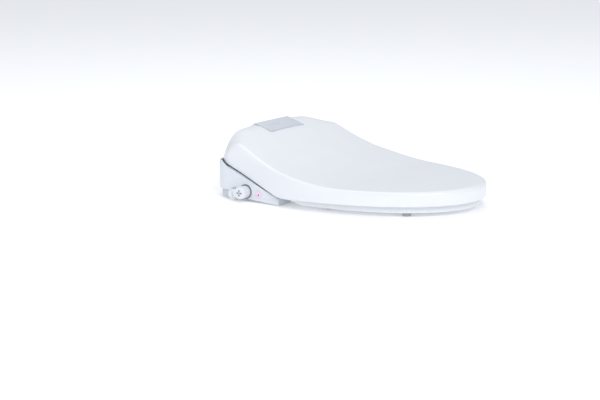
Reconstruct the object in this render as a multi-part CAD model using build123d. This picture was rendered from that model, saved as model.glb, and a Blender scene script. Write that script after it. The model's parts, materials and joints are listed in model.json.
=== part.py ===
from build123d import *
import os
from math import atan2, cos, degrees, exp, pi, radians, sin, sqrt, tan

# An electric bidet seat: bracket on the bowl, electronics housing, heated ring and lid.
# Origin: midway between the two bowl bolt holes, on the rim. +Z up, -Y to the front,
# -X the side with the controls. Millimetres throughout.

# ---- Driving dimensions --------------------------------------------------------------
seat_half_width = 199.0      # widest half width, measured over the lid
seat_reach = 472.0           # bolt line to the lid's front tip
widest_y = -156.0            # where the front ellipse hands over to the sides
lid_rear_y = 62.0
lid_rear_inset = 16.0        # how much narrower the lid is at its rear corners
lid_corner_radius = 38.0
lid_corner_drop = 44.0       # how far the lid's top falls at its rear corners
lid_rear_drop = 9.5          # and along its rear edge
shell_wall = 3.0             # lid and ring wall
housing_wall = 2.5
ring_inset = 11.0            # ring outline inside the lid outline
ring_underside_z = 8.5
ring_plate = 3.0             # thickness of the ring's bottom plate
hole_half_width = 105.0      # opening in the ring
hole_front_y = -400.0
hole_widest_y = -230.0
base_overhang = 9.0          # lid half width less housing half width
base_front_y = -106.0
base_middle_y = -72.0        # front face of the middle block
base_rear_y = 68.0
base_corner_radius = 38.0
deck_front_z = 15.0
deck_rear_z = 68.0
deck_break_y = 30.0
fence_z = 79.0               # low wall around the lid's rear corners
fence_wall = 4.0
hinge_y = 38.0
hinge_z = 112.0
hump_half_width = 60.5       # middle block that carries the hinge
hump_radius = 33.2
panel_front_y = 8.0
panel_rear_y = 52.0
panel_front_z = 129.5
panel_slope = 17.0           # degrees
panel_thickness = 3.0
notch_gap = 2.0              # lid to middle block
bolt_spacing = 140.0
bolt_radius = 4.0
bolt_reach = 50.0            # thread below the rim
bolt_neck_radius = 3.8       # plain shank above the rim
bracket_half_width = 95.0
bracket_front_y = -32.0
bracket_rear_y = 36.0
bracket_top_z = 8.0
shaft_radius = 5.0
boss_radius = 14.0
nozzle_radius = 5.5
nozzle_length = 116.0
nozzle_angle = 30.0
nozzle_tip = (-66.0, 22.5)   # (y, z) of the parked tip
rack_module = 1.0
pinion_teeth = 14
knob_radius = 13.0
knob_length = 22.6
knob_centre = (-21.0, 21.0)
button_radius = 6.0
halo_radius = 8.0            # coloured ring around the button
button_centre = (-54.0, 18.0)
filter_radius = 11.0
filter_centre = (8.0, 13.5)
release_centre = (-21.0, 26.0)
inlet_radius = 10.475        # G1/2 external thread
inlet_x = -130.0
inlet_z = 36.0
gland_x = 150.0
gland_z = 36.0

# ---- Clearances ----------------------------------------------------------------------
running = 0.05               # shaft in bore, radial
slack = 0.4                  # moving piece beside a fixed one
seam = 0.3                   # two mouldings of one body
lid_gap = 3.5                # lid edge above the housing
ring_gap = 3.0               # ring above the deck
sweep_gap = 1.2              # beside a swinging edge

# ---- Derived -------------------------------------------------------------------------
lid_rear_half = seat_half_width - lid_rear_inset
base_half = seat_half_width - base_overhang
hump_inner = hump_half_width - housing_wall
ring_boss_x = (hump_half_width + 5.5, hump_half_width + 23.5)
lid_boss_x = (hump_half_width + 26.5, hump_half_width + 36.5)
pinion_radius = rack_module * pinion_teeth / 2
deck_slope = (deck_rear_z - deck_front_z) / (deck_break_y - base_front_y)
arm_end_y = hinge_y - hump_radius - 2 * shell_wall - sweep_gap - 2
arm_slope = tan(radians(19))
arm_low_z = hinge_z - arm_slope * (hinge_y - arm_end_y)
far = 600.0                  # larger than the whole object


# ---- Helpers -------------------------------------------------------------------------
def slab(x, y, z):
    """Box from three (low, high) ranges."""
    size = [high - low for low, high in (x, y, z)]
    mid = [(high + low) / 2 for low, high in (x, y, z)]
    return Pos(*mid) * Box(*size)


def extrude_x(points, x0, x1):
    """Polygon given as (y, z) points, extruded from x0 to x1."""
    face = make_face(Polyline([(x0, y, z) for y, z in points], close=True))
    return extrude(face, amount=x1 - x0, dir=(1, 0, 0))


def rod(start, end, radius):
    """Cylinder between two points."""
    axis = Vector(*end) - Vector(*start)
    return extrude(Plane(Vector(*start), z_dir=axis) * Circle(radius), amount=axis.length)


def rod_x(centre, x0, x1, radius):
    """Cylinder along X through centre, which is (y, z)."""
    return rod((x0, *centre), (x1, *centre), radius)


def tube_x(centre, x0, x1, outer, inner):
    return rod_x(centre, x0, x1, outer) - rod_x(centre, x0 - 1, x1 + 1, inner)


def solids(*shapes):
    """Separate solids kept side by side in one node."""
    return Compound(children=[solid for shape in shapes for solid in shape.solids()])


def biggest(shape):
    return max(shape.solids(), key=lambda solid: solid.volume)


def interpolate(table, y):
    """Value at y from (y, value) stations, in straight steps."""
    for (y0, v0), (y1, v1) in zip(table, table[1:]):
        if y <= y1:
            t = min(max((y - y0) / (y1 - y0), 0), 1)
            return v0 + (v1 - v0) * t
    return table[-1][1]


def smooth(table, y, span=22.0):
    """Moving average of the stations, so that the profile has no corners."""
    steps = [-1, -0.67, -0.33, 0, 0.33, 0.67, 1]
    weights = [cos(step * pi / 2) + 0.05 for step in steps]
    total = sum(w * interpolate(table, y + span * s) for s, w in zip(steps, weights))
    return total / sum(weights)


def under_surface(height, drop=0.0):
    """Solid below the surface z = height(x, y) - drop."""
    xs = [(seat_half_width + 12) * i / 11 for i in range(-11, 12)]
    ys = [-seat_reach - 20 + (seat_reach + lid_rear_y + 40) * i / 40 for i in range(41)]
    grid = [[(x, y, height(x, y) - drop) for y in ys] for x in xs]
    return extrude(Face.make_surface_from_array_of_points(grid), amount=250, dir=(0, 0, -1))


def mirrored_outline(right_half):
    """Face bounded by edges in x >= 0 and their mirror images."""
    edges = right_half + [edge.mirror(Plane.YZ) for edge in right_half]
    return make_face(Wire(edges))


def standing(face, z0=-60.0, z1=260.0):
    return extrude(Pos(0, 0, z0) * face, amount=z1 - z0, dir=(0, 0, 1))


# ---- Outlines and profiles -----------------------------------------------------------
lid_edge_stations = [(-480, 54), (-400, 52), (-320, 51.5), (-240, 52), (-200, 55), (-161, 61),
                     (-101, 73), (-50, 91), (-12, 109), (18, 122), (48, 131), (80, 135)]
lid_crown_stations = [(-480, 1), (-240, 2), (-150, 4), (-80, 8), (0, 12), (80, 13)]
ring_top_stations = [(-480, 36), (-400, 34), (-300, 32), (-220, 33), (-150, 40), (-100, 54),
                     (-50, 74), (-4, 97), (40, 110)]
lid_hem_stations = [(-480, 24), (-300, 22), (-200, 20.5), (-120, 17.6)]
lid_hem_rear = [(28, 71), (40, 75), (50, 80.2), (58, 82.2), (75, 82.4)]


def deck_z(y):
    return min(deck_front_z + deck_slope * (y - base_front_y), deck_rear_z)


def lid_height(x, y):
    """Top of the lid: rises to the rear, crowned across, falling away at the rear corners."""
    crown = smooth(lid_crown_stations, y) * (1 - (x / seat_half_width) ** 2)
    across = max(abs(x) - 0.55 * lid_rear_half, 0) / (0.39 * lid_rear_half)
    along = max(y + 10, 0) / (lid_rear_y - 1)
    corner = lid_corner_drop * min(across * along, 1.0) ** 2.5
    rear = lid_rear_drop * min(max(y - 22, 0) / (lid_rear_y - 22), 1.3) ** 2.5
    return smooth(lid_edge_stations, y) + crown - corner - rear


def ring_height(x, y):
    """The ring dishes towards its opening."""
    rho = sqrt((x / 150) ** 2 + ((y - hole_widest_y) / 200) ** 2)
    return smooth(ring_top_stations, y) - 14 * exp(-((rho / 0.75) ** 4))


def lid_outline(inset=0.0):
    """Front half ellipse, gently tapering sides and rounded rear corners."""
    half = seat_half_width - inset
    tip = EllipticalCenterArc((0, widest_y), half, seat_reach + widest_y - inset, 270, arc_size=90)
    corner = (lid_rear_half - lid_corner_radius, lid_rear_y - lid_corner_radius)
    radius = lid_corner_radius - inset
    middle = [(seat_half_width - inset - 3, -106), (seat_half_width - inset - 9, -50),
              (seat_half_width - inset - 14.5, -8)]
    side = Spline([(half, widest_y), *middle, (corner[0] + radius, corner[1])],
                  tangents=[(0, 1), (0, 1)])
    turn = CenterArc(corner, radius, 0, 90)
    back = Line((corner[0], corner[1] + radius), (0, corner[1] + radius))
    return mirrored_outline([tip, side, turn, back])


def ring_hole(inset=0.0):
    """Opening of the ring: an ellipse in front that runs back beside the middle block."""
    half = hole_half_width - inset
    gap = ring_boss_x[0] - inset
    reach = hole_widest_y - hole_front_y - inset
    front = EllipticalCenterArc((0, hole_widest_y), half, reach, 270, arc_size=90)
    side = Spline([(half, hole_widest_y), (half - 5, -170), (half - 17, -110), (gap, -48)],
                  tangents=[(0, 1), (0, 1)])
    back = Line((gap, -48), (gap, 90))
    end = Line((gap, 90), (0, 90))
    return mirrored_outline([front, side, back, end])


def base_outline(inset=0.0):
    """Housing plan: straight sides, rounded rear corners, a front that curves back."""
    half = base_half - inset
    corner = (base_half - base_corner_radius, base_rear_y - base_corner_radius)
    radius = base_corner_radius - inset
    front = ThreePointArc((0, base_middle_y + inset), (half * 0.45, base_middle_y + inset - 7.5),
                          (half * 0.78, base_front_y + inset))
    blunt = Line((half * 0.78, base_front_y + inset), (half, base_front_y + inset))
    side = Line((half, base_front_y + inset), (half, corner[1]))
    turn = CenterArc(corner, radius, 0, 90)
    back = Line((corner[0], corner[1] + radius), (0, corner[1] + radius))
    return mirrored_outline([front, blunt, side, turn, back])


def below_deck(drop=0.0, x=(-far, far)):
    """Everything under the sloping deck."""
    y0, y1 = base_front_y - 20, base_rear_y + 20
    low = deck_front_z - 20 * deck_slope - drop
    points = [(y0, -20), (y0, low), (deck_break_y, deck_rear_z - drop), (y1, deck_rear_z - drop),
              (y1, -20)]
    return extrude_x(points, *x)


def skirt_bottom():
    """What the housing's rising lower edge leaves out."""
    y0, y1 = base_front_y - 20, base_rear_y + 20
    edge = [(y0, -0.7), (-57, 4), (-15, 6), (22, 19.5), (y1, 22.5)]
    return extrude_x(edge + [(y1, -30), (y0, -30)], -far, far)


def panel_z(y, drop=0.0):
    return panel_front_z + (y - panel_front_y) * tan(radians(panel_slope)) - drop


def hump_body(inset=0.0, top_drop=0.0):
    """Middle block: sloping front, rounded about the hinge axis, flat panel on top."""
    half = hump_half_width - inset
    front = base_middle_y + inset
    rear = base_rear_y - inset
    lower = [(front, -20), (front, 46 - inset), (front + 8, 58 - inset), (6 + inset, 102 - inset),
             (rear, 104), (rear, -20)]
    drum = rod_x((hinge_y, hinge_z), -half, half, hump_radius - inset)
    y0, y1 = -40, rear
    cap = extrude_x([(y0, 80), (y0, panel_z(y0, top_drop)), (y1, panel_z(y1, top_drop)), (y1, 80)],
                    -half, half)
    return extrude_x(lower, -half, half) + (drum & cap)


def ring_zone():
    """Side view of the ring: underside rising over the deck, arm up to the hinge."""
    foot, end = base_front_y - 21, arm_end_y
    low = [(-far, ring_underside_z), (foot - 34, ring_underside_z), (foot, deck_front_z + 1),
           (base_front_y, deck_front_z + ring_gap), (end, deck_z(end) + ring_gap)]
    high = [(end, arm_low_z), (end, 200), (-far, 200)]
    return extrude_x(low + high, -far, far)


# ---- Bracket on the bowl -------------------------------------------------------------
def bolt_points():
    return [(side * bolt_spacing / 2, 0) for side in (-1, 1)]


adjuster_radius = 13.0
gasket_top = 1.0
rail_z = 5.0                 # underside of the bracket's rails
rail_width = 5.0


def mounting_plate():
    y = (bracket_front_y, bracket_rear_y)
    plate = slab((-bracket_half_width + rail_width, bracket_half_width - rail_width), y,
                 (gasket_top, rail_z + 0.1))
    plate += slab((-bracket_half_width, bracket_half_width), y, (rail_z, bracket_top_z))
    plate -= slab((-34, 34), (bracket_front_y + 12, bracket_rear_y - 12), (rail_z, 20))
    for x, y0 in bolt_points():
        plate -= rod((x, y0, 0), (x, y0, 20), adjuster_radius)
    return plate


def plate_gasket():
    pad = slab((-bracket_half_width + 8, bracket_half_width - 8),
               (bracket_front_y + 2, bracket_rear_y - 2), (0, gasket_top))
    for x, y in bolt_points():
        pad -= rod((x, y, -1), (x, y, 5), bolt_radius)
    return pad


def bolt_adjusters():
    parts = []
    for x, y in bolt_points():
        disc = rod((x, y, gasket_top), (x, y, bracket_top_z), adjuster_radius)
        disc -= rod((x, y, 4), (x, y, 20), 8)
        parts.append(disc - rod((x, y, -1), (x, y, 20), bolt_radius))
    return solids(*parts)


def mounting_bolts():
    parts = []
    for x, y in bolt_points():
        head = extrude(Pos(x, y, 4) * RegularPolygon(7, 6), amount=3.8)
        neck = rod((x, y, -0.1), (x, y, 4.1), bolt_neck_radius)
        parts.append(head + neck + rod((x, y, -bolt_reach), (x, y, 0), bolt_radius))
    return solids(*parts)


# ---- Housing -------------------------------------------------------------------------
pan_inset = 6.0
pan_floor = (1.5, 4.0)
screw_points = [(-1, -88), (1, -88), (-1, 48), (1, 48)]


def screw_place(side, y):
    return side * (base_half - 22), y


def upper_housing():
    """Deck, side walls, rear fence and middle block, before they are parted into covers."""
    fence = standing(base_outline()) - standing(base_outline(fence_wall))
    fence &= extrude_x([(27, deck_z(27)), (47, fence_z), (90, fence_z), (90, 60), (27, 60)], -far, far)
    outer = (standing(base_outline()) & below_deck()) + fence + hump_body()
    inner = standing(base_outline(housing_wall)) & below_deck(housing_wall)
    inner += hump_body(housing_wall, panel_thickness + housing_wall)
    cover = outer - inner - skirt_bottom() - panel_pocket()
    for side, y in screw_points:
        x, y = screw_place(side, y)
        boss = rod((x, y, pan_floor[1] + 1), (x, y, 60), 4.5) & below_deck(housing_wall - 0.2)
        cover += boss
        cover -= rod((x, y, 0), (x, y, pan_floor[1] + 8), 1.9)
    for side in (-1, 1):
        cover -= rod_x((hinge_y, hinge_z), side * (hump_half_width - 8), side * far, shaft_radius + 0.3)
    x = -base_half
    cover -= rod_x(knob_centre, x - 5, x + 10, 15.5)
    cover -= rod_x(button_centre, x - 5, x + 10, halo_radius + 0.1)
    cover -= rod_x(filter_centre, x - 5, x + 10, filter_radius + 1.2)
    for centre in led_centres():
        cover -= rod_x(centre, x - 5, x + 10, led_radius)
    cover -= slab((base_half - 10, base_half + 5), span(release_centre[0], 12.6),
                  span(release_centre[1], 7.6))
    cover -= rod((inlet_x, base_rear_y - 10, inlet_z), (inlet_x, base_rear_y + 5, inlet_z), 9)
    cover -= rod((gland_x, base_rear_y - 10, gland_z), (gland_x, base_rear_y + 5, gland_z), 7)
    cover -= slab((-15, 15), (base_middle_y - 5, base_middle_y + 8), (6, 34))
    cover -= slab(dryer_x, (base_middle_y - 5, base_middle_y + 8), dryer_z)
    return cover - rod((0, 30, 100), (0, 30, 160), lens_radius)


def side_cover(housing, side):
    """Deck and walls on one side, parted where the middle block rises."""
    zone = slab(sorted((side * (hump_half_width + seam), side * far)), (-far, far), (-far, far))
    return biggest(housing & zone)


def middle_cover(housing):
    """Middle block with its front and back walls."""
    return biggest(housing & slab((-hump_half_width, hump_half_width), (-far, far), (-far, far)))


def span(centre, half):
    return centre - half, centre + half


def panel_shape(grow=0.0):
    """Top slice of the middle block."""
    y0, y1 = panel_front_y - 6, panel_rear_y + grow
    points = [(y0, panel_z(y0, panel_thickness + grow)), (y0, panel_z(y0) + 20), (y1, panel_z(y1) + 20),
              (y1, panel_z(y1, panel_thickness + grow))]
    return extrude_x(points, -far, far)


def panel_pocket():
    return panel_shape(seam)


def centre_panel():
    panel = hump_body() & panel_shape()
    return panel - rod((0, 30, 100), (0, 30, 160), lens_radius)


lens_radius = 3.0


def indicator_lens():
    top = panel_z(30) - 0.6
    return rod((0, 30, top - 6), (0, 30, top), lens_radius - running)


def receiver_board():
    """Small board under the panel with the remote receiver."""
    y0, y1 = 20, 42
    low, high = 10.5, 9.0
    points = [(y0, panel_z(y0, low)), (y0, panel_z(y0, high)), (y1, panel_z(y1, high)),
              (y1, panel_z(y1, low))]
    return extrude_x(points, -11, 11)


def base_pan():
    """Lower moulding: shallow tray with the bracket's channel."""
    limit = below_deck(housing_wall + 2)
    zone = extrude_x([(-far, pan_floor[0]), (-far, 21), (0, 21), (16, 27), (far, 27), (far, pan_floor[0])],
                     -far, far)
    outer = standing(base_outline(pan_inset)) & zone & limit
    pan = outer - standing(base_outline(pan_inset + housing_wall), pan_floor[1], 60)
    channel = (bracket_front_y - 2, base_rear_y)
    block = slab((-bracket_half_width - 6, bracket_half_width + 6), (channel[0] - 3, base_rear_y - pan_inset),
                 (pan_floor[0], bracket_top_z + 3.5))
    pan += block
    slot_half = bracket_half_width - rail_width + slack
    pan -= slab((-slot_half, slot_half), channel, (-5, rail_z))
    pan -= slab((-bracket_half_width - slack, bracket_half_width + slack), channel,
                (rail_z - slack, bracket_top_z + slack))
    for side, y in screw_points:
        x, y = screw_place(side, y)
        pan -= rod((x, y, -5), (x, y, 20), 2.1)
        pan -= rod((x, y, -5), (x, y, pan_floor[0] + 1.2), 4)
    x = -base_half
    pan -= rod_x(filter_centre, x, x + 60, filter_radius + 1.2)
    pan -= rod_x(button_centre, x, x + 30, halo_radius + 1)
    pan -= rod_x(knob_centre, x, x + 30, 12)
    pan -= slab((base_half - 20, base_half), span(release_centre[0], 14), (14, 60))
    pan -= slab((-15, 15), (base_middle_y, base_middle_y + 20), (6, 60))
    pan -= slab(dryer_x, (base_middle_y, base_middle_y + 20), (dryer_z[0], 60))
    return biggest(pan)


def housing_screws():
    parts = []
    for side, y in screw_points:
        x, y = screw_place(side, y)
        head_top = pan_floor[0] + 1.2
        parts.append(rod((x, y, head_top), (x, y, pan_floor[1] + 7), 1.85)
                     + rod((x, y, head_top - 1), (x, y, head_top), 3.6))
    return solids(*parts)


def base_pads():
    """Rubber feet that carry the housing on the rim."""
    pads = []
    for side in (-1, 1):
        for y in (-78, 20):
            pad = slab((-6, 6), (-14, 14), (0, pan_floor[0]))
            pads.append(Pos(side * (base_half - 45), y, 0) * fillet(pad.edges().filter_by(Axis.Z), 5))
    return solids(*pads)


# ---- Side controls -------------------------------------------------------------------
led_radius = 1.6


def led_centres():
    return [(button_centre[0] - 17, 15), (button_centre[0] - 24, 13)]


def side_leds():
    x = -base_half
    return solids(*[rod_x(c, x - 0.1, x + 5, led_radius - running) for c in led_centres()])


def button_halo():
    """Coloured ring around the wash button."""
    x = -base_half
    return tube_x(button_centre, x - 0.4, x + 4, halo_radius, button_radius + running)


def wash_button():
    x = -base_half
    cap = rod_x(button_centre, x - 1.6, x + 6, button_radius)
    cap = fillet(cap.edges().sort_by(Axis.X)[0], 0.8)
    return cap + rod_x(button_centre, x + 5.5, x + 9, 2)


def button_switch():
    x = -base_half
    return slab((x + 11, x + 18), span(button_centre[0], 6), span(button_centre[1], 6))


def knob_bezel():
    x = -base_half
    return tube_x(knob_centre, x - 0.6, x + 3, 15.3, 5)


def flow_knob():
    """Ribbed knob on a stem."""
    x = -base_half - 0.6 - slack
    body = rod_x(knob_centre, x - knob_length, x, knob_radius)
    body = fillet(body.edges().sort_by(Axis.X)[0], 2)
    for i in range(24):
        angle = 2 * pi * i / 24
        y = knob_centre[0] + (knob_radius + 0.5) * cos(angle)
        z = knob_centre[1] + (knob_radius + 0.5) * sin(angle)
        body -= rod_x((y, z), x - knob_length + 4, x + 1, 1.1)
    return body + rod_x(knob_centre, x - 1, x + 22, 3)


def knob_valve():
    """Flow valve that the knob turns."""
    x = -base_half
    body = rod_x(knob_centre, x + 10, x + 30, 9)
    return body - rod_x(knob_centre, x, x + 24, 3 + running)


def filter_housing():
    x = -base_half
    body = rod_x(filter_centre, x + 6, x + 40, filter_radius)
    body -= rod_x(filter_centre, x, x + 36, filter_radius - 2.5)
    return body


def filter_plug():
    """Screw-in strainer plug with a coin slot."""
    x = -base_half
    plug = rod_x(filter_centre, x - 9.5, x + 5.6, filter_radius)
    plug = fillet(plug.edges().sort_by(Axis.X)[0], 1.5)
    plug -= slab((x - 12, x - 7.5), span(filter_centre[0], 1.2), span(filter_centre[1], 7))
    return plug + rod_x(filter_centre, x + 5, x + 12, filter_radius - 5)


def filter_screen():
    x = -base_half
    return tube_x(filter_centre, x + 12, x + 34, filter_radius - 4.5, filter_radius - 5.7)


def filter_seal():
    x = -base_half
    return tube_x(filter_centre, x + 6.2, x + 8.4, filter_radius - 2.6, filter_radius - 4.9)


def release_button():
    cap = slab((base_half - 5, base_half + 1.5), span(release_centre[0], 12), span(release_centre[1], 7))
    cap = fillet(cap.edges().group_by(Axis.X)[-1], 1)
    return cap + rod_x(release_centre, base_half - 12, base_half - 4.5, 3)


def release_spring():
    """Short spring between the socket and the pressed button."""
    x0, x1 = base_half - 15, base_half - 9
    helix = Helix(pitch=3, height=x1 - x0, radius=4.6)
    coil = sweep(Plane(helix @ 0, z_dir=helix % 0) * Circle(0.5), path=helix)
    return Pos(x0, *release_centre) * Rot(0, 90, 0) * coil


def release_latch():
    """Fixed socket that the release button slides in."""
    block = slab((base_half - 24, base_half - 16), span(release_centre[0], 8), span(release_centre[1], 6))
    return block - rod_x(release_centre, base_half - 30, base_half, 3 + 0.2)


# ---- Water path ----------------------------------------------------------------------
def water_inlet():
    """Threaded stub on the rear wall."""
    y = base_rear_y
    stub = rod((inlet_x, y, inlet_z), (inlet_x, y + 13, inlet_z), inlet_radius)
    stub += rod((inlet_x, y - 18, inlet_z), (inlet_x, y + 0.5, inlet_z), 8.6)
    return stub - rod((inlet_x, y - 20, inlet_z), (inlet_x, y + 20, inlet_z), 5)


def solenoid_valve():
    y1 = base_rear_y - 18
    body = slab((inlet_x - 14, inlet_x + 14), (y1 - 24, y1), (inlet_z - 13, inlet_z + 9))
    coil = rod((inlet_x, y1 - 12, inlet_z + 9), (inlet_x, y1 - 12, inlet_z + 20), 9)
    return body + coil


def water_pump():
    x0, x1 = inlet_x + 20, -hump_half_width - 12
    return rod_x((28, 33), x0, x1, 13) + rod_x((28, 33), x1 - 1, x1 + 5, 4)


tank_x = (hump_half_width + 9, hump_half_width + 88)


def heater_tank():
    box = slab(tank_x, (-2, 50), (14, 48))
    return fillet(box.edges(), 5)


def supply_hose():
    """Pump to heater, behind the nozzle."""
    y, z = 55.5, 24
    x0, x1 = -hump_half_width - 4, tank_x[0] + 15
    path = FilletPolyline((x0, y, z), (x0 + 60, y, z - 4), (x1 - 40, y, z + 2), (x1, y, z + 2), radius=60)
    return sweep(Plane(path @ 0, z_dir=path % 0) * Circle(3.5), path=path)


# ---- Nozzle --------------------------------------------------------------------------
nozzle_plane = Plane(origin=(0, nozzle_tip[0], nozzle_tip[1]), x_dir=(1, 0, 0),
                     z_dir=(0, cos(radians(nozzle_angle)), sin(radians(nozzle_angle))))
rack_x = (nozzle_radius + 1, nozzle_radius + 5)
rack_line = 2.0              # pitch line above the nozzle axis
pinion_at = 34.0             # along the nozzle from its tip


def on_nozzle(shape):
    """Place a shape drawn with +Z to the rear along the nozzle and -Y up."""
    return nozzle_plane.location * shape


def nozzle_tube():
    body = Cylinder(nozzle_radius, nozzle_length - 14, align=(Align.CENTER, Align.CENTER, Align.MIN))
    return on_nozzle(Pos(0, 0, 14) * body)


def nozzle_cap():
    """Rounded spray head with three jets on its upper side."""
    head = Cylinder(nozzle_radius, 14, align=(Align.CENTER, Align.CENTER, Align.MIN))
    head = fillet(head.edges().sort_by(Axis.Z)[0], 3)
    for z in (5.5, 7.5, 9.5):
        head -= Pos(0, -nozzle_radius, z) * Rot(90, 0, 0) * Cylinder(0.5, 4)
    return on_nozzle(head)


def nozzle_rack():
    """Toothed bar beside the tube, closed by a block behind it."""
    pitch = pi * rack_module
    height = rack_line - 1.25 * rack_module
    start, end = pinion_at - 10, nozzle_length + 8
    bar = slab(rack_x, (-height, 4), (start, end))
    count = int((end - start) / pitch)
    half_base = pitch / 4 + 1.25 * rack_module * tan(radians(20))
    half_top = pitch / 4 - rack_module * tan(radians(20)) - 0.06
    for i in range(-4, count):
        z = pinion_at + pitch * (i + 0.5)
        if start + 2 < z < end - 2:
            tooth = make_face(Polyline([(-height + 0.1, z - half_base + 0.06),
                                        (-rack_line - rack_module, z - half_top),
                                        (-rack_line - rack_module, z + half_top),
                                        (-height + 0.1, z + half_base - 0.06)], close=True))
            tooth = Plane(origin=(rack_x[0], 0, 0), x_dir=(0, 1, 0), z_dir=(1, 0, 0)) * tooth
            bar += extrude(tooth, amount=rack_x[1] - rack_x[0], dir=(1, 0, 0))
    bar += slab((-nozzle_radius, rack_x[1]), (-rack_line + 1.2, 4), (nozzle_length, end))
    return on_nozzle(bar)


def gear_profile(teeth, module, trim):
    """Straight-flanked teeth that mesh with a rack."""
    r = module * teeth / 2
    pitch_angle = 2 * pi / teeth
    points = []
    for i in range(teeth):
        a = i * pitch_angle
        for radius, part in ((r - 1.2 * module, -0.36), (r, -0.235), (r + 0.92 * module, -0.10),
                             (r + 0.92 * module, 0.10), (r, 0.235), (r - 1.2 * module, 0.36)):
            angle = a + part * pitch_angle - (trim if part > 0 else -trim)
            points.append((radius * cos(angle), radius * sin(angle)))
    return make_face(Polyline(points, close=True))


def pinion_centre():
    """Pinion axis in the nozzle's own frame: (y, z)."""
    return -rack_line - pinion_radius, pinion_at


def drive_pinion():
    y, z = pinion_centre()
    gear = Rot(0, 0, 90) * gear_profile(pinion_teeth, rack_module, 0.012)
    gear = Plane(origin=(rack_x[0], y, z), x_dir=(0, 0, -1), z_dir=(1, 0, 0)) * gear
    body = extrude(gear, amount=rack_x[1] - rack_x[0] - 0.6, dir=(1, 0, 0))
    hub = Plane(origin=(rack_x[0], y, z), z_dir=(1, 0, 0)) * Circle(3)
    body += extrude(hub, amount=rack_x[1] - rack_x[0] + 1)
    stem = Plane(origin=(rack_x[1], y, z), z_dir=(1, 0, 0)) * Circle(1.5)
    return on_nozzle(body + extrude(stem, amount=12))


def nozzle_motor():
    """Stepper that turns the pinion."""
    y, z = pinion_centre()
    x0 = rack_x[1] + 3
    can = Plane(origin=(x0, y, z), z_dir=(1, 0, 0)) * Circle(12)
    body = extrude(can, amount=18)
    bore = Plane(origin=(x0 - 1, y, z), z_dir=(1, 0, 0)) * Circle(1.5 + running)
    return on_nozzle(body - extrude(bore, amount=14))


def nozzle_guide():
    """Trough that the nozzle slides in."""
    outer = slab((-9, rack_x[1] + 2.5), (-1, 9.5), (6, nozzle_length + 2))
    inner = slab((-nozzle_radius - slack, rack_x[1] + slack), (-20, nozzle_radius + slack),
                 (0, nozzle_length + 20))
    return on_nozzle(outer - inner)


def nozzle_guard():
    """Framed shield in the middle block's front opening."""
    y0 = base_middle_y
    frame = slab((-14.7, 14.7), (y0 - 1.5, y0 + housing_wall), (6.3, 33.7))
    frame = fillet(frame.edges().filter_by(Axis.Y), 4)
    hole = Cylinder(nozzle_radius + 1.6, 60)
    hole += slab((0, rack_x[1] + 0.6), (-rack_line - rack_module - 0.6, 4.6), (-30, 30))
    return frame - on_nozzle(hole)


# ---- Dryer ---------------------------------------------------------------------------
dryer_x = (-hump_half_width + 7, -hump_half_width + 31)
dryer_z = (12.0, 32.0)
blower_centre = (16.0, 50.0)
blower_x = (dryer_x[0], dryer_x[1])
blower_radius = 22.0


def blower_housing():
    x0, x1 = blower_x
    y, z = blower_centre
    outer = rod_x((y, z), x0, x1, blower_radius)
    outer += slab(blower_x, (y - 18, y + 2), (dryer_z[0], z - 10))
    inner = rod_x((y, z), x0 + 2, x1 - 2, blower_radius - 2)
    inner += slab((x0 + 2, x1 - 2), (y - 20, y), (dryer_z[0] + 2, z - 10))
    body = outer - inner
    return body - rod_x((y, z), x0 - 1, x1 + 1, 8)


def blower_fan():
    """Drum of blades on a hub."""
    x0, x1 = blower_x
    y, z = blower_centre
    fan = rod_x((y, z), x1 - 5, x1 - 3, 17)
    for i in range(20):
        angle = 2 * pi * i / 20
        blade = slab((x0 + 4, x1 - 4.5), (12.6, 16.4), (-0.6, 0.6))
        fan += Pos(0, y, z) * Rot(degrees(angle), 0, 0) * blade
    fan += tube_x((y, z), x0 + 3.5, x0 + 4.5, 17, 12)
    return fan + rod_x((y, z), x1 - 4, x1 + 8, 1.5) + rod_x((y, z), x1 - 10, x1 - 3, 4)


def blower_motor():
    x1 = blower_x[1]
    can = rod_x(blower_centre, x1, x1 + 16, 11)
    return can - rod_x(blower_centre, x1 - 1, x1 + 10, 1.5 + running)


def dryer_duct():
    y = (base_middle_y + housing_wall + 1, blower_centre[0] - 18)
    outer = slab((dryer_x[0] + 1, dryer_x[1] - 1), y, (dryer_z[0] + 1, dryer_z[1] - 1))
    return outer - slab((dryer_x[0] + 2.5, dryer_x[1] - 2.5), (-far, far),
                        (dryer_z[0] + 2.5, dryer_z[1] - 2.5))


def dryer_heater():
    """Coil former across the duct."""
    x, z = (dryer_x[0] + 2.5, dryer_x[1] - 2.5), (dryer_z[0] + 2.5, dryer_z[1] - 2.5)
    fins = [slab(x, (y, y + 1), z) for y in range(-48, -24, 4)]
    spine = slab((-hump_half_width + 18, -hump_half_width + 20), (-48, -27), z)
    return biggest(spine + fins)


def dryer_grille():
    y0 = base_middle_y
    x, z = dryer_x, dryer_z
    frame = slab((x[0] + seam, x[1] - seam), (y0 - 0.5, y0 + 3), (z[0] + seam, z[1] - seam))
    for i in range(5):
        low = z[0] + 2.6 + i * 3.2
        frame -= slab((x[0] + 3, x[1] - 3), (y0 - 5, y0 + 8), (low, low + 1.9))
    return frame


# ---- Electronics ---------------------------------------------------------------------
board_x = (hump_half_width + 16, base_half - 29.5)


def on_board(shape):
    """Place a shape drawn flat under the sloping deck."""
    y = base_middle_y + 2
    z = deck_z(y) - housing_wall - 4
    return Pos(0, y, z) * Rot(degrees(atan2(deck_slope, 1)), 0, 0) * shape


def control_board():
    return on_board(slab(board_x, (0, 66), (-1.6, 0)))


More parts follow.
